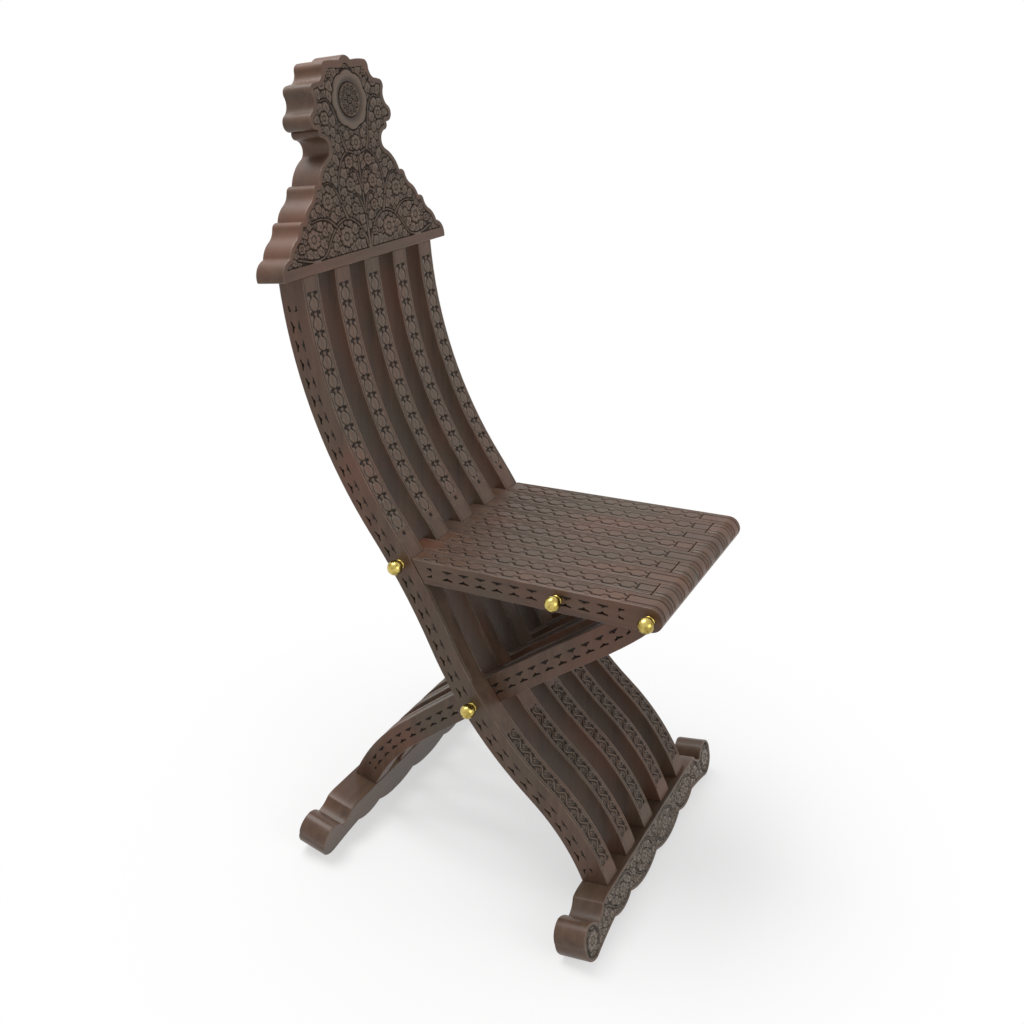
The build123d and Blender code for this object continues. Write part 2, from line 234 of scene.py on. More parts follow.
class Run:
    """A stretch of a slat's edge: where it lies and faces, by its run `a` in mm.

    The run is measured along a line that lies inset mm inside the edge.
    """

    def __init__(self, points, inset=0.0):
        step = np.diff(points, axis=0)
        step /= np.linalg.norm(step, axis=1)[:, None]
        out = np.column_stack([step[:, 1], -step[:, 0]])
        out = np.vstack([out[:1], out[1:] + out[:-1], out[-1:]])
        self.points = points
        self.out = out / np.linalg.norm(out, axis=1)[:, None]
        self.inset = inset
        steps = np.linalg.norm(np.diff(self.inner_line(), axis=0), axis=1)
        self.a = np.concatenate([[0], np.cumsum(steps)]) / MM

    def inner_line(self):
        """The line along which the run is measured."""
        return self.points - self.out * self.inset * MM

    def count_up_from(self, datum):
        """Moves the run's zero to the place beside a datum point, and counts it upwards."""
        line = self.inner_line()
        fine = np.linspace(self.a[0], self.a[-1], 4000)
        near = np.column_stack([np.interp(fine, self.a, line[:, k]) for k in (0, 1)])
        zero = fine[np.argmin(np.linalg.norm(near - datum, axis=1))]
        self.a = self.a - zero
        if self.points[-1, 1] <= self.points[0, 1]:
            self.a, self.points, self.out = -self.a[::-1], self.points[::-1], self.out[::-1]
        return self

    def at(self, a):
        """Points and outward normals, as rows of (y, z)."""
        point = np.column_stack([np.interp(a, self.a, self.points[:, k]) for k in (0, 1)])
        out = np.column_stack([np.interp(a, self.a, self.out[:, k]) for k in (0, 1)])
        return point, out / np.linalg.norm(out, axis=1)[:, None]


def long_edge(node, facing, depth):
    """The long edge of a slat that faces a way, its run counted up from the cross rod."""
    facing = np.array(facing)
    runs = [Run(piece, depth / 2) for piece in pieces_of(outline(node)) if len(piece) > 4]
    run = max(runs, key=lambda r: (r.out @ facing).mean() * min(r.a[-1], 300))
    return run.count_up_from(rod_centre("cross_rod"))


def seat_edge(node):
    """A seat slat's top and nose, its run counted back from over the front rod."""
    piece = max(pieces_of(outline(node)), key=len)
    run = Run(piece)
    along = rod_centre("back_rod") - rod_centre("front_rod")
    along /= np.linalg.norm(along)
    up = np.array([-along[1], along[0]])
    keep = run.out @ up > -0.45
    run.points, run.out, run.a = run.points[keep], run.out[keep], run.a[keep]
    flat = np.flatnonzero(run.out @ up > 0.985)
    front = flat[np.argmin((run.points[flat] @ along))]
    zero = (run.points[front] - rod_centre("front_rod")) @ along / MM
    run.a = zero - (run.a - run.a[front])
    run.a, run.points, run.out = run.a[::-1], run.points[::-1], run.out[::-1]
    return run


# ---- cutters --------------------------------------------------------------------------
def closed_mesh(name, verts, faces, carved):
    """A mesh object of one or more closed cutters, with its depth in the wood."""
    mesh = bpy.data.meshes.new(name)
    mesh.from_pydata(verts.tolist(), [], faces)
    corner = np.empty(len(mesh.loops), np.int32)
    mesh.loops.foreach_get("vertex_index", corner)
    depth = mesh.attributes.new("carved", "FLOAT", "CORNER")
    depth.data.foreach_set("value", np.asarray(carved, np.float32)[corner])
    mesh.attributes.new("wear", "FLOAT", "CORNER")
    # a cutter only cuts with its faces turned outwards
    bm = bmesh.new()
    bm.from_mesh(mesh)
    bmesh.ops.recalc_face_normals(bm, faces=bm.faces)
    if bm.calc_volume(signed=True) < 0:
        bmesh.ops.reverse_faces(bm, faces=bm.faces)
    bm.to_mesh(mesh)
    bm.free()
    obj = bpy.data.objects.new(name, mesh)
    bpy.context.scene.collection.objects.link(obj)
    return obj


def grid_cutter(name, inner, outer, carved):
    """A closed cutter between a grid of relief points and a grid that is clear of the wood."""
    rows, columns = inner.shape[:2]
    edge = np.array([outer[:, 0], outer[:, -1]]).transpose(1, 0, 2)
    verts = np.concatenate([inner.reshape(-1, 3), edge.reshape(-1, 3)])
    first = rows * columns
    cell = (np.arange(rows - 1)[:, None] * columns + np.arange(columns - 1)).ravel()
    faces = np.column_stack([cell, cell + 1, cell + columns + 1, cell + columns]).tolist()
    for i in range(rows - 1):
        low, high = first + 2 * i, first + 2 * i + 1
        here, there = i * columns, (i + 1) * columns
        faces.append([low, low + 2, high + 2, high])
        faces.append([here, there, low + 2, low])
        faces.append([there + columns - 1, here + columns - 1, high, high + 2])
    faces.append([first, first + 1] + list(range(columns - 1, -1, -1)))
    last = (rows - 1) * columns
    faces.append([first + 2 * rows - 1, first + 2 * rows - 2] + list(range(last, last + columns)))
    depth = np.concatenate([np.maximum(carved, 0).ravel(), np.zeros(2 * rows)])
    return closed_mesh(name, verts, faces, depth)


def strip_cutter(name, run, strip, middle, relief, step=FINE_STEP):
    """A cutter for the relief along a strip of an edge. middle is the strip's X in mm."""
    start, end = strip
    a = np.linspace(start, end, max(2, int((end - start) / step[0])))
    t = np.linspace(-STRIP_HALF, STRIP_HALF, int(2 * STRIP_HALF / step[1]) + 1)
    depth = np.maximum(relief(*np.meshgrid(a, t, indexing="ij")), LOWERED)
    depth[[0, -1]] = -SKIM
    point, out = run.at(a)
    inner = np.empty(depth.shape + (3,))
    inner[..., 0] = (middle + t)[None, :] * MM
    outer = inner.copy()
    for k in (0, 1):
        inner[..., k + 1] = point[:, None, k] - out[:, None, k] * depth * MM
        outer[..., k + 1] = point[:, None, k] + out[:, None, k] * CLEAR * MM
    return grid_cutter(name, inner, outer, depth)


def notch_profile(rim_middle):
    """A notch's outline, as (run, distance from its tip), in shares of its sizes."""
    return (
        (-0.5, 1.0), (0.0, rim_middle), (0.5, 1.0), (0.5, 0.6),
        (0.2, 0.44), (0.0, 0.0), (-0.2, 0.44), (-0.5, 0.6),
    )


def notch_cutter(name, run, inset, places, side_x, outward):
    """Pairs of chip-carved notches whose tips face each other, on a slat's side."""
    verts, faces, carved = [], [], []
    for place, share in places:
        point, out = run.at(np.array([place]))
        point = point[0] - out[0] * inset * MM
        out = out[0]
        along = np.array([-out[1], out[0]])
        for row in (-1, 1):
            first = len(verts)
            ring = [
                (u * NOTCH_LENGTH, row * (NOTCH_APART / 2 + v * NOTCH_HEIGHT))
                for u, v in notch_profile(1.0 if row > 0 else NOTCH_DIP)
                if share == 0 or u * share >= 0
            ]
            middle = (share * NOTCH_LENGTH / 5, row * (NOTCH_APART / 2 + 0.76 * NOTCH_HEIGHT))
            # the walls lean in from the surface to the notch's floor
            for lift, size in ((1.0, 1.0), (0.02, 1.0), (-NOTCH_DEPTH, 0.72)):
                for u, v in ring:
                    u, v = (m + (w - m) * size for m, w in zip(middle, (u, v)))
                    at = point + (along * u + out * v) * MM
                    verts.append((side_x + outward * lift * MM, *at))
                    carved.append(max(-lift, 0.0))
            count = len(ring)
            faces.append([first + i for i in range(count)])
            faces.append([first + 2 * count + i for i in reversed(range(count))])
            for i in range(count):
                j = (i + 1) % count
                for low in (first, first + count):
                    faces.append([low + j, low + i, low + count + i, low + count + j])
    return closed_mesh(name, np.array(verts), faces, carved)


def carve(piece, cutters):
    """Takes each cutter out of a piece, and then the cutters away."""
    for cutter in cutters:
        cut = piece.modifiers.new("carve", "BOOLEAN")
        cut.operation = "DIFFERENCE"
        cut.solver = "MANIFOLD"
        cut.object = cutter
        graph = bpy.context.evaluated_depsgraph_get()
        before = len(piece.data.vertices)
        result = bpy.data.meshes.new_from_object(piece.evaluated_get(graph))
        piece.modifiers.clear()
        if len(result.vertices) == before:
            raise RuntimeError(f"{cutter.name} cut nothing from {piece.name}")
        piece.data = result
        bpy.data.objects.remove(cutter)
    return piece


def finish_piece(piece, node, material):
    """Shades a piece, gives it its material and puts it in its CAD node's place."""
    piece.name = node + "_wood"
    piece.data.shade_smooth()
    piece.data.set_sharp_from_angle(angle=math.radians(32))
    even = piece.modifiers.new("even", "WEIGHTED_NORMAL")
    even.keep_sharp = True
    graph = bpy.context.evaluated_depsgraph_get()
    piece.data = bpy.data.meshes.new_from_object(piece.evaluated_get(graph))
    piece.modifiers.clear()
    piece.data.materials.clear()
    piece.data.materials.append(material)
    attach(piece, body_of_node(node))
    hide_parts(node)
    return piece


# ---- reliefs: the depth of the carving at (a, t) ---------------------------------------
def in_field(depth, a, t, start, end):
    """A depth kept to the sunken field between two runs."""
    across = 1 - ramp(np.abs(t), FIELD_HALF - 0.6, FIELD_HALF + 0.4)
    ends = ramp(a, start - 0.5, start + 0.5) * (1 - ramp(a, end - 0.5, end + 0.5))
    return depth * across * ends


def border_lines(a, t):
    """Fine lines along both arrises."""
    return vee(np.abs(t) - BORDER_LINE, 1.1, 1.9)


def bud_chain(a, t):
    """Smooth buds with a bead between each two, in a sunken field."""
    start, end = BUD_FIELD
    pitch = (end - start) / BUD_COUNT
    u = (a - start) % pitch
    side = np.abs(t)
    bud_middle, bud_half = 0.38 * pitch, 0.37 * pitch
    width = BUD_WIDE * np.clip(1 - ((u - bud_middle) / bud_half) ** 2, 0, 1) ** 0.62
    share = side / np.maximum(width, 1e-3)
    bud = FIELD_DEPTH * (0.90 - 0.16 * share**2) * ramp(1 - share, 0.0, 0.15) * (width > 0.4)
    bud -= vee(side - 0.5 * width, 0.7, 0.7) * (u < bud_middle) * (width > 4)
    # two sepals along the field's edges, parted by a dark pocket from the beads
    sepal = (side - width - 1.3) * (side < 9.4)
    sepal = FIELD_DEPTH * 0.86 * ramp(sepal, 0.0, 0.8) * ramp(np.abs(u - 0.93 * pitch), 1.2, 2.6)
    height = np.maximum(bud, sepal * ramp(side, 4.6, 6.0))
    for place, radius in BEADS:
        ball = 1 - ((u - place * pitch) ** 2 + t**2) / radius**2
        height = np.maximum(height, FIELD_DEPTH * np.sqrt(np.clip(ball, 0, 1)))
    # the line round a bud is shallow, and the ground beside the beads deep
    near = np.abs((u / pitch - 0.86 + 0.5) % 1.0 - 0.5) * pitch
    depth = (FIELD_DEPTH - height) * (0.68 + 0.32 * (1 - ramp(near, 3.5, 6.5)))
    stop = (np.abs(t) < STOP_HALF) & (a > start - STOP_FAR) & (a < start - STOP_NEAR)
    depth = np.maximum(in_field(depth, a, t, start, end), stop * STOP_DEPTH)
    return np.maximum(depth, border_lines(a, t))


def leaf_braid(a, t):
    """A waving stem with a ribbed leaf in each bend, close together."""
    start, end = -BRAID_FIELD[1], -BRAID_FIELD[0]
    pitch = (end - start) / BRAID_COUNT
    turns = (a - start) / pitch
    wave = BRAID_WAVE * np.sin(2 * np.pi * turns)
    slope = BRAID_WAVE * 2 * np.pi / pitch * np.cos(2 * np.pi * turns)
    stem = (t - wave) / np.sqrt(1 + slope**2)
    height = FIELD_DEPTH * (1.0 - 0.35 * ramp(np.abs(stem), 0.0, 1.2))
    height -= vee(np.abs(stem) - 1.9, 0.8, 2.2)
    for shift, side in ((0.25, -1), (0.75, 1)):
        u = ((turns - shift + 0.5) % 1.0 - 0.5) * pitch
        v = side * t
        leaf = (side * stem > 1.9) & (np.abs(u) < pitch / 2)
        # ribs that fan from the leaf's root, and a lobed edge between leaves
        rib = (u + 0.62 * (v - 2.0) + 40) % 4.1 - 2.05
        height -= vee(rib, 0.8, 1.3) * leaf
        hollow = np.hypot((np.abs(u) - 7.6) / 3.4, (v - 7.6) / 2.4)
        height -= FIELD_DEPTH * ramp(1 - hollow, 0.0, 0.35) * leaf
        curl = np.hypot(u + 3.2, v - 5.6)
        height -= vee(curl - 2.3, 0.8, 1.5) * leaf
    depth = in_field(np.clip(FIELD_DEPTH - height, 0, FIELD_DEPTH), a, t, start, end)
    return np.maximum(depth, border_lines(a, t))


def seat_chain(a, t):
    """A scalloped chain between straight lines; plain bars towards the nose."""
    wave = np.abs(((a - SEAT_FIRST_PINCH) / SEAT_PITCH + 0.5) % 1.0 - 0.5) * SEAT_PITCH
    half = SEAT_NARROW + (SEAT_WIDE - SEAT_NARROW) * np.clip((wave - 2.6) / 3.6, 0, 1)
    chained = (a > SEAT_CHAIN[0]) & (a < SEAT_CHAIN[1])
    half = np.where(chained, half, SEAT_WIDE)
    side = np.abs(t)
    depth = vee(side - half, 1.9, 3.2) * (a < SEAT_CHAIN[1])
    bump = np.hypot(wave / 4.6, (side - 8.0) / 3.2)
    beside = (side > half) * (side < SEAT_SCALLOP) * chained
    depth = np.maximum(depth, 0.7 * (1 - ramp(1 - bump, 0.0, 0.25)) * beside)
    depth = np.maximum(depth, vee(side - SEAT_LINE, 0.9, 1.6))
    cross = vee(a - SEAT_CHAIN[0], 1.2, 2.4) * (side < SEAT_WIDE)
    return np.maximum(depth, cross)


def leg_panel(a, t):
    """Fine lines and a sunken panel along the top of a leg slat."""
    side = np.abs(t)
    depth = LEG_PANEL_DEPTH * (1 - ramp(side, 6.6, 7.6))
    for line in LEG_LINES:
        depth = np.maximum(depth, vee(side - line, 0.8, 0.8))
    return depth


# ---- carved panels: the crest and the front foot ---------------------------------------
def smooth_curve(points, count=14):
    """Points along a smooth curve through a few given ones."""
    p = np.array(points, float)
    p = np.vstack([2 * p[0] - p[1], p, 2 * p[-1] - p[-2]])
    u = np.linspace(0, 1, count, endpoint=False)[:, None]
    parts = [
        0.5 * (
            2 * b + (c - a) * u + (2 * a - 5 * b + 4 * c - d) * u**2
            + (3 * b - 3 * c + d - a) * u**3
        )
        for a, b, c, d in zip(p, p[1:], p[2:], p[3:])
    ]
    return np.vstack(parts + [p[-2:-1]])


def to_line(x, y, line):
    """Distance to a line of points, and how far along it the nearest place is, in mm."""
    best = np.full(x.shape, 1e9)
    along = np.zeros(x.shape)
    run = 0.0
    for (x0, y0), (x1, y1) in zip(line, line[1:]):
        dx, dy = x1 - x0, y1 - y0
        length = math.hypot(dx, dy)
        u = np.clip(((x - x0) * dx + (y - y0) * dy) / length**2, 0, 1)
        distance = np.hypot(x - x0 - u * dx, y - y0 - u * dy)
        nearer = distance < best
        best = np.where(nearer, distance, best)
        along = np.where(nearer, run + u * length, along)
        run += length
    return best, along


class Panel:
    """A carved panel on a board's front: heights over its sunken ground, on a grid."""

    def __init__(self, board, ground):
        bm = cad_mesh(board)
        face = max((f for f in bm.faces if f.normal.y < -0.5), key=lambda f: f.calc_area())
        self.out = face.normal.copy()
        self.across = Vector((1, 0, 0))
        self.up = self.out.cross(self.across)
        low = min((v.co for v in face.verts), key=lambda co: co.dot(self.up))
        self.origin = low - self.across * low.x
        self.rim = np.array([
            ((v.co - self.origin).dot(self.across) / MM, (v.co - self.origin).dot(self.up) / MM)
            for v in face.verts
        ])
        bm.free()
        low, high = self.rim.min(0) - 2 * PANEL_STEP, self.rim.max(0) + 2 * PANEL_STEP
        self.x, self.y = np.meshgrid(
            np.arange(low[0], high[0], PANEL_STEP), np.arange(low[1], high[1], PANEL_STEP),
            indexing="ij",
        )
        self.ground = ground
        self.height = np.zeros(self.x.shape)
        loop = np.vstack([self.rim, self.rim[:1]])
        self.inset = to_line(self.x, self.y, loop)[0]
        inside = np.zeros(self.x.shape, bool)
        for (x0, y0), (x1, y1) in zip(loop, loop[1:]):
            if y0 != y1:
                crosses = ((y0 > self.y) != (y1 > self.y)) & (
                    self.x < (x1 - x0) * (self.y - y0) / (y1 - y0) + x0
                )
                inside ^= crosses
        self.inset = np.where(inside, self.inset, -self.inset)

    def set_field(self, field):
        """The carved field, as the distance inside its edge, in mm."""
        self.field = field
        self.outside = np.full(field.shape, 9.0)    # distance outside the shapes put so far
        self.free = field[::3, ::3].copy()
        self.free_x, self.free_y = self.x[::3, ::3], self.y[::3, ::3]

    def near(self, x, y, reach, turn=0.0):
        """The part of the grid near a place, and its points seen from there."""
        cut = []
        for place, axis in ((x, self.x[:, 0]), (y, self.y[0])):
            first = (place - reach - axis[0]) / PANEL_STEP
            last = (place + reach - axis[0]) / PANEL_STEP + 2
            cut.append(slice(*np.clip((first, last), 0, len(axis)).astype(int)))
        cut = tuple(cut)
        dx, dy = self.x[cut] - x, self.y[cut] - y
        cos, sin = math.cos(turn), math.sin(turn)
        return cut, dx * cos + dy * sin, dy * cos - dx * sin

    def put(self, x, y, reach, shape, gap=0.8):
        """Clears a line round a shape and raises the shape. shape gives inside and height."""
        cut, u, v = self.near(x, y, reach + 4)
        inside, height = shape(u, v)
        part = self.height[cut] * ramp(-inside, 0.0, gap)
        self.height[cut] = np.maximum(part, height * ramp(inside, 0.0, 0.7))
        self.outside[cut] = np.minimum(self.outside[cut], -inside)

    def fill_round(self, x, y, radius):
        """Marks a round place as taken."""
        self.free = np.minimum(self.free, np.hypot(self.free_x - x, self.free_y - y) - radius)

    def stem(self, width, points):
        """A stem with a groove along it, and the same on the other side."""
        for sign in (1, -1) if any(x for x, y in points) else (1,):
            line = smooth_curve([(sign * px, py) for px, py in points])
            middle = line.mean(0)
            reach = np.abs(line - middle).max() + 2 * width

            def shape(u, v, line=line - middle):
                distance, along = to_line(u, v, line)
                taper = width * (0.72 + 0.44 * ramp(along, 30, 0)) / 2
                return taper - distance, self.ground * 0.94 - vee(distance, 0.8, 0.7)

            self.put(*middle, reach, shape, gap=1.3)
            taken, _ = to_line(self.free_x, self.free_y, line)
            self.free = np.minimum(self.free, taken - width / 2 - 0.3)

    def rosette(self, x, y, radius, petals, mirrored=True):
        """A flower with round petals, a ring and a boss."""
        def shape(u, v):
            r, angle = np.hypot(u, v), np.arctan2(v, u)
            wave = np.abs(np.cos(petals * angle / 2))
            edge = radius * (0.80 + 0.20 * wave**0.6)
            height = self.ground * (0.80 + 0.16 * ramp(r, 0, radius))
            height -= vee(wave, 0.30, 1.3) * ramp(r, radius * 0.36, radius * 0.5)
            height -= vee(r - radius * 0.40, 0.9, 1.7)
            boss = self.ground * np.sqrt(np.clip(1.06 - (r / (radius * 0.36)) ** 2, 0, 1))
            return edge - r, np.where(r < radius * 0.36, np.maximum(boss, height * 0.3), height)

        for sign in (1, -1) if mirrored and x else (1,):
            self.put(sign * x, y, radius * 1.2 + 2, shape)
            self.fill_round(sign * x, y, radius + 0.2)

    def fill_leaves(self, largest, smallest):
        """Leaves in all the places that are left, the widest first, with thin lines between."""
        # how far a place lies outside the nearest, the second and the third nearest leaf
        first = np.full(self.x.shape, 9.0)
        second, third = first.copy(), first.copy()
        ribs = np.zeros(self.x.shape)
        while True:
            i, j = np.unravel_index(np.argmax(self.free), self.free.shape)
            if self.free[i, j] < smallest:
                break
            x, y = self.free_x[i, j], self.free_y[i, j]
            radius = min(self.free[i, j], largest)
            self.fill_round(x, y, radius * 0.92)
            # the leaf points outwards and up, and has a lobe at each side of its tip
            turn = math.atan2(0.75 + 0.004 * y, np.sign(x) * (0.35 + 0.006 * abs(x)))
            cut, u, v = self.near(x, y, 2.1 * radius + 3, turn)
            angle = np.arctan2(v, u)
            lobes = 1 + 0.13 * np.cos(3 * angle) - 0.07 * np.cos(5 * angle)
            edge = np.hypot(0.86 * u, 1.1 * v) * lobes - radius
            rib = vee(v, 0.75, 1.5) * (u > -0.8 * radius) * (u < 0.6 * radius)
            veins = vee(np.abs(v) - 0.55 * (u + 0.75 * radius), 0.7, 1.1) * (u < 0.3 * radius)
            rib = np.maximum(rib, veins)
            one, two, three = first[cut], second[cut], third[cut]
            ribs[cut] = np.where(edge < one, rib, ribs[cut])
            third[cut] = np.minimum(three, np.maximum(edge, two))
            second[cut] = np.minimum(two, np.maximum(edge, one))
            first[cut] = np.minimum(one, edge)
        # a line where two leaves meet, and the ground where three do
        height = self.ground * (0.89 - 0.16 * ramp(first, -2.5, 1.0)) - ribs
        height -= vee(second - first, 1.6, 2.0)
        height *= ramp(third - first, 0.5, 1.9) * (1 - ramp(first, 1.4, 2.4))
        height *= ramp(self.outside, 0.4, 1.2) * ramp(self.field, 0.7, 1.6)
        self.height = np.where(self.outside > 0, np.maximum(self.height, height), self.height)

    def cutter(self, name):
        """The closed cutter that leaves this relief."""
        depth = (self.ground - self.height) * ramp(self.field, 0.0, 1.0)
        depth = np.where((depth < 0.02) | (self.inset < 0.5), -SKIM, depth)
        base = (
            np.array(self.origin) + self.x[..., None] * MM * np.array(self.across)
            + self.y[..., None] * MM * np.array(self.up)
        )
        out = np.array(self.out) * MM
        return grid_cutter(name, base - depth[..., None] * out, base + CLEAR * out, depth)


# Stems as (width, points) and flowers as (x, y, radius, petals), from the middle of a
# board's bottom. Each is put on both sides, unless it stands in the middle.
CREST_STEMS = (
    # main scrolls, from the foot of the middle stem outwards
    (4.2, (
        (2, 13), (8, 30), (20, 46), (38, 54), (57, 50), (73, 37), (86, 21), (99, 15),
        (118, 15), (141, 21),
    )),
    (3.8, ((38, 54), (45, 72), (46, 92), (42, 107), (33, 122), (20, 130), (9, 128))),
    (3.4, ((20, 130), (27, 146), (30, 162), (36, 180), (46, 190), (57, 189))),
    (3.2, ((62, 47), (76, 57), (92, 60), (106, 58))),
    (3.0, ((45, 74), (56, 92), (66, 98), (74, 97))),
    # middle stem and its branches
    (4.4, ((0, 13), (0, 50), (0, 90), (0, 122))),
    (3.0, ((0, 84), (7, 104), (14, 108), (20, 106))),
    (3.0, ((0, 56), (8, 74), (14, 79), (20, 77))),
)
CREST_FLOWERS = (
    (45, 33, 13.0, 8), (108, 39, 12.0, 8), (72, 78, 10.5, 8), (23, 92, 9.0, 8),
    (20, 118, 8.0, 8), (20, 63, 7.5, 8), (14, 32, 6.0, 6), (0, 139, 9.5, 8),
    (54, 170, 8.0, 6), (51, 208, 7.5, 6), (35, 219, 5.5, 6), (132, 32, 6.5, 6),
)
FOOT_OVALS = (
    # pointed ovals, each round a flower
    (3.0, (
        (7, 29), (17, 43), (38, 49), (57, 43), (68, 30), (57, 15), (40, 9), (19, 14), (7, 29),
    )),
    (3.0, (
        (82, 33), (92, 45), (112, 50), (133, 44), (146, 34), (134, 21), (113, 13), (93, 20),
        (82, 33),
    )),
)
FOOT_FLOWERS = (
    (38, 29, 10.5, 8), (112, 32, 10.0, 8), (75, 20, 5.0, 6), (0, 45, 5.5, 6),
    (60, 29, 4.0, 6), (16, 29, 4.0, 6),
)
FOOT_STEMS = (
    (3.0, ((0, 9), (0, 24), (0, 37))),
    # the vine's end
    (2.8, ((148, 34), (158, 42), (168, 42), (176, 33), (181, 20))),
    (2.6, ((150, 30), (160, 24), (166, 14))),
    # a ring round the flower in the scroll
    (2.4, tuple(
        (207 + 17.5 * math.cos(k * math.pi / 6), 28 + 21 * math.sin(k * math.pi / 6))
        for k in range(13)
    )),
)
SCROLL_FLOWER = (207, 29, 14.0, 8)


def medallion_boss(u, v):
    """The raised disc in the medallion, with a rim."""
    r = np.hypot(u, v)
    rim = ramp(r, MEDALLION_BOSS - MEDALLION_RIM[0], MEDALLION_BOSS - MEDALLION_RIM[1])
    return MEDALLION_BOSS - r, CREST_GROUND * (0.70 + 0.3 * rim)


def crest_panel():
    """The arabesque of the crest round its medallion, with a plain band at the bottom."""
    panel = Panel("crest_board", CREST_GROUND)
    x, y = panel.x, panel.y
    top_margin = TOP_MARGIN * ramp(y, *TOP_MARGIN_RISE)
    panel.set_field(np.minimum(panel.inset - CREST_MARGIN - top_margin, y - CREST_BAND))
    for stem in CREST_STEMS:
        panel.stem(*stem)
    for flower in CREST_FLOWERS:
        panel.rosette(*flower)
    # medallion: its lobed disc before the leaves, its boss and small flowers after them
    r, angle = np.hypot(x, y - MEDALLION_HEIGHT), np.arctan2(y - MEDALLION_HEIGHT, x)
    lobed = MEDALLION_FIELD + MEDALLION_LOBE * np.abs(np.cos(4 * angle)) - r
    plain = CREST_GROUND * 0.86 - 1.1 * ramp(r, MEDALLION_DISH, MEDALLION_BOSS + 2)
    panel.height = panel.height * ramp(-lobed, 0.0, 1.0)
    panel.height = np.maximum(panel.height, plain * ramp(lobed, 0.0, 0.8))
    panel.outside = np.minimum(panel.outside, -lobed)
    panel.fill_round(0, MEDALLION_HEIGHT, MEDALLION_FIELD + 2.2)
    panel.fill_leaves(*CREST_LEAVES)
    panel.put(0, MEDALLION_HEIGHT, MEDALLION_BOSS + 4, medallion_boss, gap=1.4)
    for ring, count, radius in MEDALLION_RINGS:
        for k in range(count):
            turn = 2 * math.pi * k / count
            across, up = ring * math.sin(turn), ring * math.cos(turn)
            panel.rosette(across, MEDALLION_HEIGHT + up, radius, 6, mirrored=False)
    return panel.cutter("crest_relief")


def foot_panel():
    """The running vine of the front foot, with a flower in each end."""
    panel = Panel("front_foot", FOOT_GROUND)
    panel.set_field(panel.inset - FOOT_MARGIN)
    for oval in FOOT_OVALS:
        panel.stem(*oval)
    for flower in FOOT_FLOWERS:
        panel.rosette(*flower)
    for stem in FOOT_STEMS:
        panel.stem(*stem)
    panel.rosette(*SCROLL_FLOWER)
    panel.fill_leaves(*FOOT_LEAVES)
    return panel.cutter("foot_relief")


# ---- materials ------------------------------------------------------------------------
WOOD_TONES = (
    (0.30, (0.066, 0.037, 0.024)),
    (0.50, (0.092, 0.053, 0.034)),
    (0.72, (0.120, 0.072, 0.046)),
)
PORE = (0.034, 0.022, 0.018, 1.0)
REDDISH = (0.140, 0.058, 0.034, 1.0)
OLIVE = (0.070, 0.058, 0.038, 1.0)
RUBBED = (0.200, 0.130, 0.095, 1.0)     # worn arrises
WORKED = (0.175, 0.140, 0.105, 1.0)     # carved leaves and buds
# wax in the carving's hollows together with painted shade, darker the deeper the carving
WAX_AND_SHADE = (0.018, 0.012, 0.009, 1.0)
BRASS_TONES = ((0.28, 0.20, 0.045), (0.50, 0.385, 0.105), (0.64, 0.51, 0.17))
STEEL_TONES = ((0.20, 0.19, 0.18), (0.34, 0.33, 0.32), (0.46, 0.45, 0.44))


def new_material(name):
    """A material with its nodes cleared to a Principled shader and an output."""
    material = bpy.data.materials.new(name)
    material.use_nodes = True
    tree = material.node_tree
    tree.nodes.clear()
    shader = tree.nodes.new("ShaderNodeBsdfPrincipled")
    out = tree.nodes.new("ShaderNodeOutputMaterial")
    tree.links.new(shader.outputs["BSDF"], out.inputs["Surface"])
    return material, tree, shader


def feed(tree, socket, value):
    """Links a socket to an input, or sets the input's value."""
    if isinstance(value, bpy.types.NodeSocket):
        tree.links.new(value, socket)
    else:
        socket.default_value = value


def node(tree, kind, **inputs):
    """A shader node with some of its inputs set or linked, by their names or places."""
    made = tree.nodes.new("ShaderNode" + kind)
    for key, value in inputs.items():
        feed(tree, made.inputs[int(key[1:]) if key[0] == "_" else key], value)
    return made


def map_range(tree, value, low, high, to_low, to_high):
    """A node that maps low to high on to_low to to_high, and keeps within them."""
    return node(tree, "MapRange", _0=value, _1=low, _2=high, _3=to_low, _4=to_high)


def attribute(tree, name):
    """The value of an attribute that the mesh carries."""
    made = node(tree, "Attribute")
    made.attribute_name = name
    return made.outputs["Fac"]


def colour_ramp(tree, factor, stops):
    """A colour ramp over (place, colour) stops."""
    made = node(tree, "ValToRGB", Fac=factor)
    elements = made.color_ramp.elements
    while len(elements) < len(stops):
        elements.new(0.5)
    for element, (place, colour) in zip(elements, stops):
        element.position = place
        element.color = (*colour, 1.0)
    return made.outputs["Color"]


def grey_ramp(tree, factor, *stops):
    """A ramp over (place, grey) stops."""
    return colour_ramp(tree, factor, [(place, (grey,) * 3) for place, grey in stops])


def mix(tree, factor, first, second):
    """Mixes two colours."""
    made = tree.nodes.new("ShaderNodeMix")
    made.data_type = "RGBA"
    # the inputs and the output that a mix of colours uses, by their places
    for place, value in ((0, factor), (6, first), (7, second)):
        feed(tree, made.inputs[place], value)
    return made.outputs[2]


def maths(tree, operation, first, second):
    """One step of arithmetic."""
    made = tree.nodes.new("ShaderNodeMath")
    made.operation = operation
    feed(tree, made.inputs[0], first)
    feed(tree, made.inputs[1], second)
    return made.outputs[0]


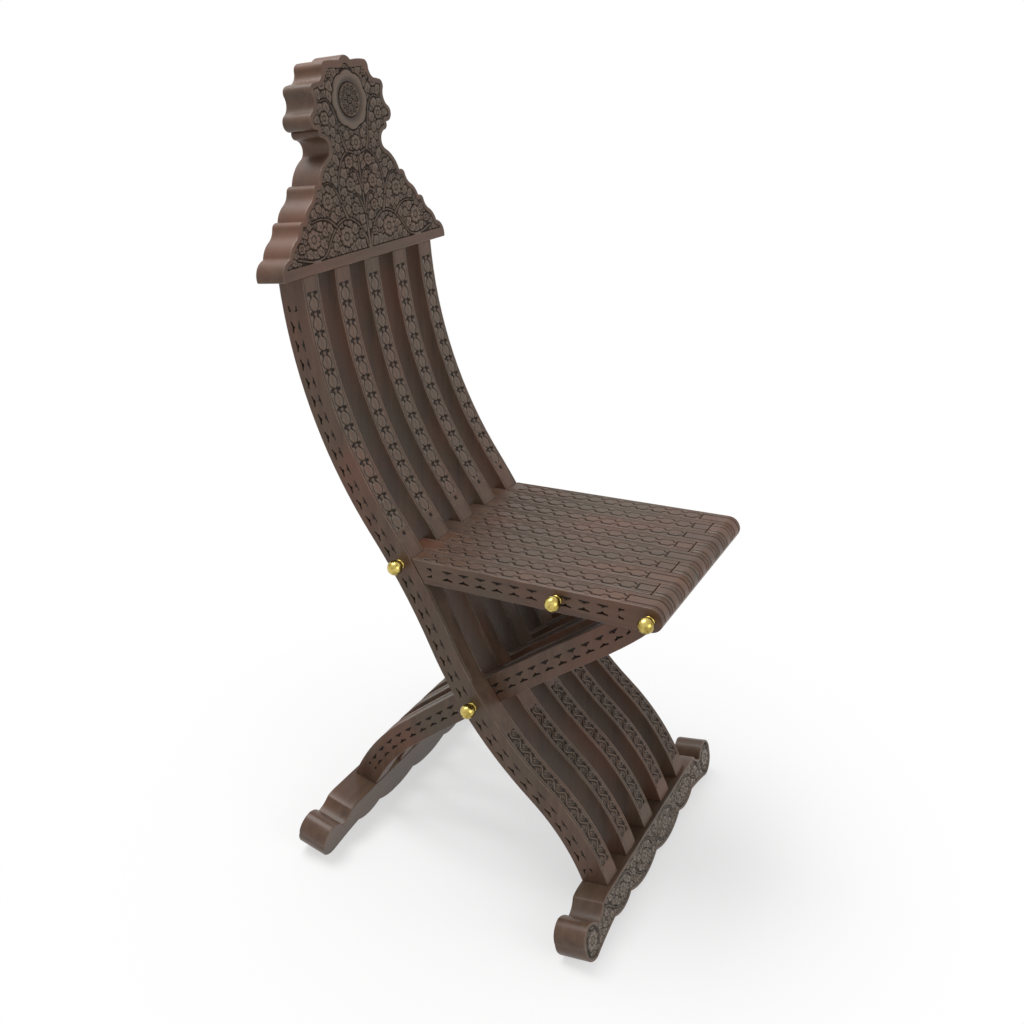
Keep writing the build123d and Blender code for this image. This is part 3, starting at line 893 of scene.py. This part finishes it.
def walnut(name, grain_turn, shift, gloss=0.0, paling=0.34):
    """Old waxed walnut: grain along one way, hollows painted dark for their wax and their shade,
    and worn, paler arrises.

    gloss smooths it, and paling is how far its carved leaves and buds turn pale.
    """
    material, tree, shader = new_material(name)
    place = tree.nodes.new("ShaderNodeTexCoord").outputs["Object"]
    turned = node(tree, "Mapping", Vector=place, Rotation=grain_turn, Location=shift).outputs[0]
    grain_scale = node(tree, "Mapping", Vector=turned, Scale=(1.0, 16.0, 16.0)).outputs[0]
    figure = node(tree, "TexNoise", Vector=grain_scale, Scale=5.0, Detail=6.0, Roughness=0.62)
    pores = node(tree, "TexNoise", Vector=grain_scale, Scale=60.0, Detail=3.0, Roughness=0.7)
    blotch = node(tree, "TexNoise", Vector=turned, Scale=8.0, Detail=3.0, Roughness=0.5)
    patches = node(tree, "TexNoise", Vector=place, Scale=38.0, Detail=2.0)
    figure, pores, blotch, patches = (n.outputs["Fac"] for n in (figure, pores, blotch, patches))
    wood = colour_ramp(tree, figure, WOOD_TONES)
    wood = mix(tree, grey_ramp(tree, pores, (0.32, 0.5), (0.46, 0.0)), wood, PORE)
    wood = mix(tree, grey_ramp(tree, blotch, (0.48, 0.0), (0.68, 0.62)), wood, REDDISH)
    wood = mix(tree, grey_ramp(tree, blotch, (0.30, 0.55), (0.47, 0.0)), wood, OLIVE)
    patches = map_range(tree, patches, 0.42, 0.66, 0.0, 0.4).outputs[0]
    wood = mix(tree, maths(tree, "MULTIPLY", attribute(tree, "wear"), patches), wood, RUBBED)
    # carved leaves and buds are paler and shine more; hollows are dull and painted dark, partly
    # for the wax in them and partly as painted shade
    carved = attribute(tree, "carved")
    worked = map_range(tree, carved, 0.14, 0.26, 0.0, paling).outputs[0]
    wood = mix(tree, worked, wood, WORKED)
    # painted shade with the wax in the hollows: the deeper the carving, the darker and duller the
    # wood
    hollow = map_range(tree, carved, 0.5, 2.0, 0.0, 0.92).outputs[0]
    wood = mix(tree, hollow, wood, WAX_AND_SHADE)
    tree.links.new(wood, shader.inputs["Base Color"])
    rough = map_range(tree, figure, 0.3, 0.7, 0.38 - gloss, 0.50 - gloss).outputs[0]
    rough = maths(tree, "ADD", rough, maths(tree, "MULTIPLY", hollow, 0.4))
    rough = maths(tree, "SUBTRACT", rough, maths(tree, "MULTIPLY", worked, 0.3))
    tree.links.new(rough, shader.inputs["Roughness"])
    bump = node(tree, "Bump", Strength=0.25, Distance=0.0004, Height=pores)
    tree.links.new(bump.outputs[0], shader.inputs["Normal"])
    shader.inputs["Specular IOR Level"].default_value = 0.27
    shader.inputs["Coat Weight"].default_value = 0.10
    shader.inputs["Coat Roughness"].default_value = 0.2
    return material


def metal(name, dull, plain, bright):
    """Polished metal with faint hand marks."""
    material, tree, shader = new_material(name)
    place = tree.nodes.new("ShaderNodeTexCoord").outputs["Object"]
    cloud = node(tree, "TexNoise", Vector=place, Scale=140.0, Detail=4.0).outputs["Fac"]
    colour = colour_ramp(tree, cloud, ((0.35, dull), (0.50, plain), (0.68, bright)))
    tree.links.new(colour, shader.inputs["Base Color"])
    rough = map_range(tree, cloud, 0.3, 0.7, 0.16, 0.30)
    tree.links.new(rough.outputs[0], shader.inputs["Roughness"])
    shader.inputs["Metallic"].default_value = 1.0
    return material


ALONG_X = (0.0, 0.0, 0.0)
ALONG_Y = (0.0, 0.0, math.radians(90))
ALONG_Z = (0.0, math.radians(90), 0.0)
slat_woods = [walnut(f"walnut_slat_{k}", ALONG_Z, (0.7 * k, 0.31 * k, 0.0)) for k in range(3)]
seat_woods = [
    walnut(f"walnut_seat_{k}", ALONG_Y, (0.5 * k, 0.23 * k, 0.4), paling=0.12) for k in range(3)
]
board_wood = walnut("walnut_board", ALONG_X, (0.2, 0.1, 0.3))
front_foot_wood = walnut("walnut_front_foot", ALONG_X, (0.9, 0.2, 0.5), gloss=0.06, paling=0.7)
rear_foot_wood = walnut("walnut_rear_foot", ALONG_X, (0.6, 0.5, 0.1), gloss=0.08)
brass_metal = metal("brass", *BRASS_TONES)
steel_metal = metal("steel", *STEEL_TONES)


# ---- slats ----------------------------------------------------------------------------
def middle_x(name):
    """X of the middle of a slat, in millimetres."""
    low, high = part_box(name)
    return (low.x + high.x) / 2 / MM


def notch_pairs(first, pitch, count, skip=()):
    """Evenly spaced pairs of notches, as (place, share).

    A share of 0 is a whole pair, and -1 or 1 the half of one that lies on that side.
    """
    return [(first + pitch * k, 0) for k in range(count) if k not in skip]


BACK_NOTCHES = (
    notch_pairs(23.0, 22.85, 23, skip=(8,)) + [(544.0, -1)]     # none over the back rod
    + notch_pairs(-27.0, -23.65, 10) + [(-260.0, 1)]
)
LEG_NOTCHES = (
    notch_pairs(24.0, 22.85, 10) + [(250.0, -1)]
    + notch_pairs(-66.0, -23.2, 9) + [(-272.0, 1)]
)
SEAT_NOTCHES = (
    notch_pairs(57.5, 23.4, 3) + notch_pairs(149.0, 23.35, 6) + [(38.0, 1), (288.0, -1)]
)


def side_notches(name, run, inset, places, number, count):
    """Notch cutters for the outer side of the first slat and of the last."""
    low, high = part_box(name)
    cutters = []
    if number == 1:
        cutters.append(notch_cutter(f"notches_{name}", run, inset, places, low.x, -1))
    if number == count:
        cutters.append(notch_cutter(f"notches_{name}", run, inset, places, high.x, 1))
    return cutters


def back_slats():
    """The five S-curved slats, carved on their front edges and outer sides."""
    for number in range(1, BACK_SLATS + 1):
        name = f"back_slat_{number}"
        run = long_edge(name, (-1, 0), BACK_DEPTH)
        middle = middle_x(name)
        cutters = [
            strip_cutter("buds", run, BUD_STRIP, middle, bud_chain),
            strip_cutter("lines", run, LINE_STRIP, middle, border_lines, LINE_STEP),
            strip_cutter("braid", run, BRAID_STRIP, middle, leaf_braid),
        ]
        inset = BACK_DEPTH / 2 + BACK_NOTCH_SHIFT
        cutters += side_notches(name, run, inset, BACK_NOTCHES, number, BACK_SLATS)
        finish_piece(carve(soft_solid(name), cutters), name, slat_woods[number % 3])


def leg_slats():
    """The four leg slats, lined along their tops, their tips carved as the seat is."""
    for number in range(1, LEG_SLATS + 1):
        name = f"leg_slat_{number}"
        top = long_edge(name, (0.5, 1), LEG_DEPTH)
        middle = middle_x(name)
        cutters = [
            strip_cutter(label, top, strip, middle, leg_panel, LINE_STEP)
            for label, strip in LEG_STRIPS.items()
        ]
        cutters.append(strip_cutter("nose", seat_edge(name), LEG_NOSE_STRIP, middle, seat_chain))
        cutters += side_notches(name, top, LEG_DEPTH / 2, LEG_NOTCHES, number, LEG_SLATS)
        finish_piece(carve(soft_solid(name), cutters), name, slat_woods[(number + 1) % 3])


def seat_slats():
    """The nine slats of the seat, each with a scalloped chain along its top."""
    for number in range(1, BACK_SLATS + 1):
        name = f"front_seat_slat_{number}"
        run = seat_edge(name)
        strip = (SEAT_START, run.a.max() - FRONT_SEAT_MARGIN)
        cutters = [strip_cutter("chain", run, strip, middle_x(name), seat_chain, SEAT_STEP)]
        cutters += side_notches(name, run, SEAT_NOTCH_INSET, SEAT_NOTCHES, number, BACK_SLATS)
        finish_piece(carve(soft_solid(name), cutters), name, seat_woods[number % 3])
    for number in range(1, LEG_SLATS + 1):
        name = f"rear_seat_slat_{number}"
        run = seat_edge(name)
        strip = (run.a.min() + REAR_SEAT_MARGIN, SEAT_END)
        cutters = [strip_cutter("chain", run, strip, middle_x(name), seat_chain, SEAT_STEP)]
        finish_piece(carve(soft_solid(name), cutters), name, seat_woods[(number + 1) % 3])


# ---- brass and rods -------------------------------------------------------------------
def keep_node(name, material):
    """Gives a CAD node that stays a better material."""
    mesh = nodes[name].data
    mesh.materials.clear()
    mesh.materials.append(material)
    mesh.shade_smooth()
    mesh.set_sharp_from_angle(angle=math.radians(40))


# ---- studio ---------------------------------------------------------------------------
CAMERA_PLACE = (-1.1120, -0.6082, 1.0708)
CAMERA_HEADING = 118.605     # degrees from -Y towards +X
CAMERA_FALL = 24.695         # degrees below the horizon
CAMERA_FOCUS = 1063.4        # focal length in pixels
CAMERA_FRAME = 1024          # width of the frame in pixels
FLOOR_REACH = 30.0
FLOOR_GREYS = (0.87, 0.89)
WHITE_FROM, WHITE_TO = 0.22, 0.72    # distances between which the floor turns white


def camera():
    """The camera, at the photograph's place."""
    data = bpy.data.cameras.new("camera")
    data.sensor_width = 36.0
    data.lens = CAMERA_FOCUS / CAMERA_FRAME * data.sensor_width
    data.clip_start, data.clip_end = 0.05, 50.0
    obj = bpy.data.objects.new("camera", data)
    bpy.context.scene.collection.objects.link(obj)
    heading, fall = math.radians(CAMERA_HEADING), math.radians(CAMERA_FALL)
    ahead = Vector((
        math.sin(heading) * math.cos(fall), -math.cos(heading) * math.cos(fall), -math.sin(fall),
    ))
    obj.location = CAMERA_PLACE
    obj.rotation_euler = ahead.to_track_quat("-Z", "Y").to_euler()
    bpy.context.scene.camera = obj


def lamp(name, place, target, size, power):
    """A soft square lamp that points at a target."""
    data = bpy.data.lights.new(name, "AREA")
    data.shape = "SQUARE"
    data.size = size
    data.energy = power
    obj = bpy.data.objects.new(name, data)
    obj.location = place
    obj.rotation_euler = (Vector(target) - Vector(place)).to_track_quat("-Z", "Y").to_euler()
    bpy.context.scene.collection.objects.link(obj)


def seen_directly(tree):
    """1 for a ray of the camera, a gloss or a glass, and 0 for the light on the object."""
    path = tree.nodes.new("ShaderNodeLightPath")
    seen = maths(tree, "MAXIMUM", path.outputs["Is Camera Ray"], path.outputs["Is Glossy Ray"])
    return maths(tree, "MAXIMUM", seen, path.outputs["Is Transmission Ray"])


def studio_floor():
    """A plain floor that takes the shadow and is white further out."""
    material, tree, shader = new_material("floor")
    speckle = node(tree, "TexNoise", Scale=40.0)
    colour = grey_ramp(tree, speckle.outputs["Fac"], (0.3, FLOOR_GREYS[0]), (0.7, FLOOR_GREYS[1]))
    tree.links.new(colour, shader.inputs["Base Color"])
    shader.inputs["Roughness"].default_value = 0.9
    shader.inputs["Specular IOR Level"].default_value = 0.1
    place = tree.nodes.new("ShaderNodeNewGeometry").outputs["Position"]
    away = node(tree, "VectorMath", _0=place)
    away.operation = "LENGTH"
    white = map_range(tree, away.outputs["Value"], WHITE_FROM, WHITE_TO, 0.55, 1.0)
    white.interpolation_type = "SMOOTHSTEP"
    white = maths(tree, "MULTIPLY", white.outputs[0], seen_directly(tree))
    glow = node(tree, "Emission", Strength=1.0)
    both = tree.nodes.new("ShaderNodeMixShader")
    for socket, value in zip(both.inputs, (white, shader.outputs[0], glow.outputs[0])):
        tree.links.new(value, socket)
    tree.links.new(both.outputs[0], tree.nodes["Material Output"].inputs["Surface"])
    mesh = bpy.data.meshes.new("floor")
    corners = ((-1, -1), (1, -1), (1, 1), (-1, 1))
    mesh.from_pydata(
        [(x * FLOOR_REACH, y * FLOOR_REACH, 0) for x, y in corners], [], [(0, 1, 2, 3)],
    )
    floor = bpy.data.objects.new("floor", mesh)
    mesh.materials.append(material)
    bpy.context.scene.collection.objects.link(floor)


def studio_world():
    """A world that looks white and lights the chair with half its strength."""
    world = bpy.data.worlds.new("world")
    world.use_nodes = True
    tree = world.node_tree
    background = tree.nodes["Background"]
    background.inputs["Color"].default_value = (1.0, 1.0, 1.0, 1.0)
    strength = map_range(tree, seen_directly(tree), 0.0, 1.0, 0.5, 1.0)
    tree.links.new(strength.outputs[0], background.inputs["Strength"])
    bpy.context.scene.world = world


back_slats()
leg_slats()
seat_slats()
for cad_name in nodes:
    if "knob" in cad_name or "collar" in cad_name:
        keep_node(cad_name, brass_metal)
    elif cad_name.endswith("_rod"):
        keep_node(cad_name, steel_metal)
finish_piece(carve(soft_solid("crest_board"), [crest_panel()]), "crest_board", board_wood)
finish_piece(carve(soft_solid("front_foot"), [foot_panel()]), "front_foot", front_foot_wood)
finish_piece(soft_solid("rear_foot"), "rear_foot", rear_foot_wood)
camera()
studio_floor()
studio_world()
lamp("key", (-0.2, 1.0, 3.0), (0.0, 0.0, 0.5), 1.6, 60)
lamp("fill", (-0.6, -2.5, 1.2), (0.0, 0.0, 0.25), 1.6, 19)
bpy.context.scene.view_settings.view_transform = "Standard"
